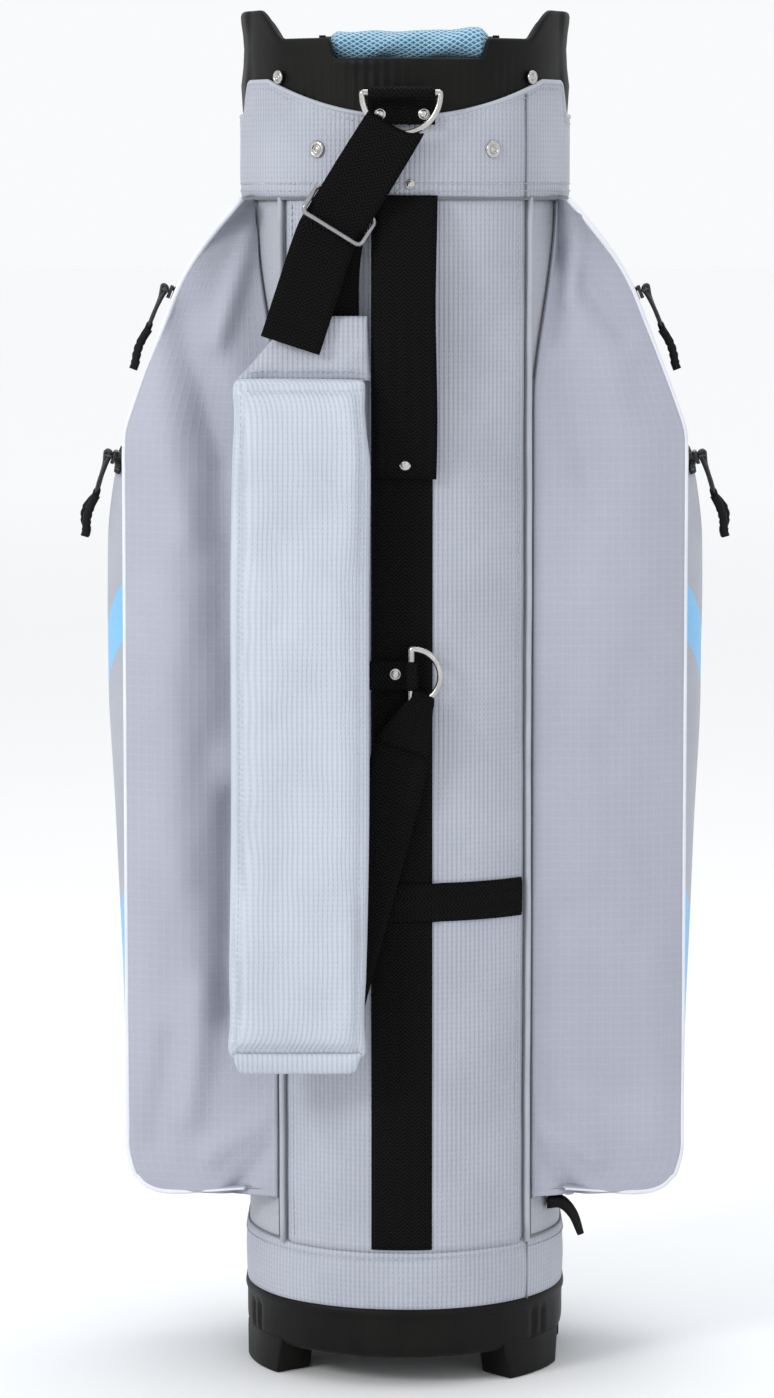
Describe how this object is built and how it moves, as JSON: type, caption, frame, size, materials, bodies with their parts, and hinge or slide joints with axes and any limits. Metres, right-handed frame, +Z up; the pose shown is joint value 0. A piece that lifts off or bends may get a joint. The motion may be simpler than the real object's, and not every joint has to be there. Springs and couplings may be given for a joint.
{
  "type": "golf cart bag",
  "caption": "Oval golf cart bag with a divided top, side and front zip pockets, grab handles and a padded shoulder strap hung between D-rings.",
  "frame": {"origin": "on the floor, at the middle of the bag's footprint", "axes": "+Z up; the spine with its shoulder strap faces -Y; +X is to the right when looking at the spine; the ball pocket faces +Y"},
  "size_m": [0.4204, 0.3181, 0.87],
  "materials": {
    "embossed_vinyl": "light grey embossed vinyl-coated fabric, matt",
    "ripstop": "grey smooth ripstop polyester, low sheen",
    "webbing": "black woven webbing, matt",
    "mesh": "light blue spacer mesh over foam",
    "piping": "white piping, satin",
    "zip_tape": "black zip tape and coil teeth",
    "liner": "dark divider fabric",
    "moulded_plastic": "black moulded plastic, satin",
    "tube_plastic": "dark plastic sheet",
    "nickel": "bright nickel plate",
    "satin_metal": "satin grey metal",
    "dark_metal": "black enamelled metal",
    "pull_rubber": "black moulded rubber on a cord"
  },
  "bodies": {
    "bag": {"base_feet": "moulded_plastic", "base_floor": "moulded_plastic", "base_boot": "moulded_plastic", "base_band": "embossed_vinyl", "inner_tube": "tube_plastic", "body_cover": "embossed_vinyl", "spine_panel": "embossed_vinyl", "spine_piping": "embossed_vinyl", "spine_webbing": "webbing", "spine_handle": "webbing", "cross_webbing": "webbing", "spine_rivets": "nickel", "collar": "embossed_vinyl", "collar_snaps": "nickel", "top_cuff": "moulded_plastic", "grip_bar": "moulded_plastic", "grip_wrap": "mesh", "divider_ring": "moulded_plastic", "divider_bars": "moulded_plastic", "divider_panels": "liner", "ring_keeper": "webbing", "lower_ring_tab": "webbing", "strap_lower_webbing": "webbing", "side_pocket_left": "ripstop", "side_pocket_right": "ripstop", "side_piping": "piping", "side_zips": "zip_tape", "umbrella_tab": "moulded_plastic", "ball_pocket": "ripstop", "valuables_pocket": "ripstop", "front_zips": "zip_tape", "front_handle": "webbing", "towel_tab": "webbing"},
    "upper_ring": {"upper_d_ring": "nickel"},
    "strap": {"strap_webbing": "webbing", "pad_cap": "embossed_vinyl", "shoulder_pad": "embossed_vinyl"},
    "strap_slider": {"tri_glide": "satin_metal"},
    "lower_ring": {"lower_d_ring": "nickel"},
    "towel_ring": {"towel_ring": "nickel"},
    "upper_slider_left": {"upper_slider_left": "dark_metal"},
    "upper_pull_left": {"upper_pull_left": "pull_rubber"},
    "upper_slider_right": {"upper_slider_right": "dark_metal"},
    "upper_pull_right": {"upper_pull_right": "pull_rubber"},
    "back_slider_left": {"back_slider_left": "dark_metal"},
    "back_pull_left": {"back_pull_left": "pull_rubber"},
    "back_slider_right": {"back_slider_right": "dark_metal"},
    "back_pull_right": {"back_pull_right": "pull_rubber"},
    "fore_slider_left": {"fore_slider_left": "dark_metal"},
    "fore_pull_left": {"fore_pull_left": "pull_rubber"},
    "fore_slider_right": {"fore_slider_right": "dark_metal"},
    "fore_pull_right": {"fore_pull_right": "pull_rubber"},
    "ball_slider": {"ball_slider": "dark_metal"},
    "ball_pull": {"ball_pull": "pull_rubber"},
    "valuables_slider": {"valuables_slider": "dark_metal"},
    "valuables_pull": {"valuables_pull": "pull_rubber"}
  },
  "joints": [
    {"name": "strap_swing", "type": "hinge", "parent": "bag", "child": "strap", "pos_m": [-0.0025, -0.1325, 0.817], "axis": [-1, 0, 0], "range_deg": [0, 12]},
    {"name": "upper_ring_swing", "type": "hinge", "parent": "bag", "child": "upper_ring", "pos_m": [-0.0025, -0.1325, 0.817], "axis": [-1, 0, 0], "range_deg": [0, 12]},
    {"name": "slider_travel", "type": "slide", "parent": "strap", "child": "strap_slider", "axis": [0.5255, 0, 0.8508], "range_m": [0, 0.03]},
    {"name": "lower_ring_swing", "type": "hinge", "parent": "bag", "child": "lower_ring", "pos_m": [0.004, -0.128, 0.456], "axis": [0, 0, -1], "range_deg": [0, 12]},
    {"name": "towel_ring_swing", "type": "hinge", "parent": "bag", "child": "towel_ring", "pos_m": [0, 0.1225, 0.7], "axis": [1, 0, 0], "range_deg": [0, 100]},
    {"name": "upper_slider_left_travel", "type": "slide", "parent": "bag", "child": "upper_slider_left", "axis": [0, 1, 0], "range_m": [0, 0.084]},
    {"name": "upper_pull_left_lift", "type": "hinge", "parent": "upper_slider_left", "child": "upper_pull_left", "pos_m": [-0.15379, -0.042, 0.69494], "axis": [0, 1, 0], "range_deg": [0, 95]},
    {"name": "upper_slider_right_travel", "type": "slide", "parent": "bag", "child": "upper_slider_right", "axis": [0, 1, 0], "range_m": [0, 0.084]},
    {"name": "upper_pull_right_lift", "type": "hinge", "parent": "upper_slider_right", "child": "upper_pull_right", "pos_m": [0.15379, -0.042, 0.69494], "axis": [0, -1, 0], "range_deg": [0, 95]},
    {"name": "back_slider_left_travel", "type": "slide", "parent": "bag", "child": "back_slider_left", "axis": [0, -1, 0], "range_m": [0, 0.038]},
    {"name": "back_pull_left_lift", "type": "hinge", "parent": "back_slider_left", "child": "back_pull_left", "pos_m": [-0.19279, -0.0052, 0.58722], "axis": [0, 1, 0], "range_deg": [0, 95]},
    {"name": "back_slider_right_travel", "type": "slide", "parent": "bag", "child": "back_slider_right", "axis": [0, -1, 0], "range_m": [0, 0.038]},
    {"name": "back_pull_right_lift", "type": "hinge", "parent": "back_slider_right", "child": "back_pull_right", "pos_m": [0.19279, -0.0052, 0.58722], "axis": [0, -1, 0], "range_deg": [0, 95]},
    {"name": "fore_slider_left_travel", "type": "slide", "parent": "bag", "child": "fore_slider_left", "axis": [0, 1, 0], "range_m": [0, 0.038]},
    {"name": "fore_pull_left_lift", "type": "hinge", "parent": "fore_slider_left", "child": "fore_pull_left", "pos_m": [-0.19279, 0.0052, 0.58722], "axis": [0, 1, 0], "range_deg": [0, 95]},
    {"name": "fore_slider_right_travel", "type": "slide", "parent": "bag", "child": "fore_slider_right", "axis": [0, 1, 0], "range_m": [0, 0.038]},
    {"name": "fore_pull_right_lift", "type": "hinge", "parent": "fore_slider_right", "child": "fore_pull_right", "pos_m": [0.19279, 0.0052, 0.58722], "axis": [0, -1, 0], "range_deg": [0, 95]},
    {"name": "ball_slider_travel", "type": "slide", "parent": "bag", "child": "ball_slider", "axis": [1, 0, 0], "range_m": [0, 0.1]},
    {"name": "ball_pull_lift", "type": "hinge", "parent": "ball_slider", "child": "ball_pull", "pos_m": [-0.05, 0.158, 0.363], "axis": [1, 0, 0], "range_deg": [0, 95]},
    {"name": "valuables_slider_travel", "type": "slide", "parent": "bag", "child": "valuables_slider", "axis": [1, 0, 0], "range_m": [0, 0.09]},
    {"name": "valuables_pull_lift", "type": "hinge", "parent": "valuables_slider", "child": "valuables_pull", "pos_m": [-0.045, 0.15, 0.538], "axis": [1, 0, 0], "range_deg": [0, 95]}
  ],
  "couplings": [
    {"joint": "upper_ring_swing", "follows": "strap_swing", "ratio": 1}
  ]
}
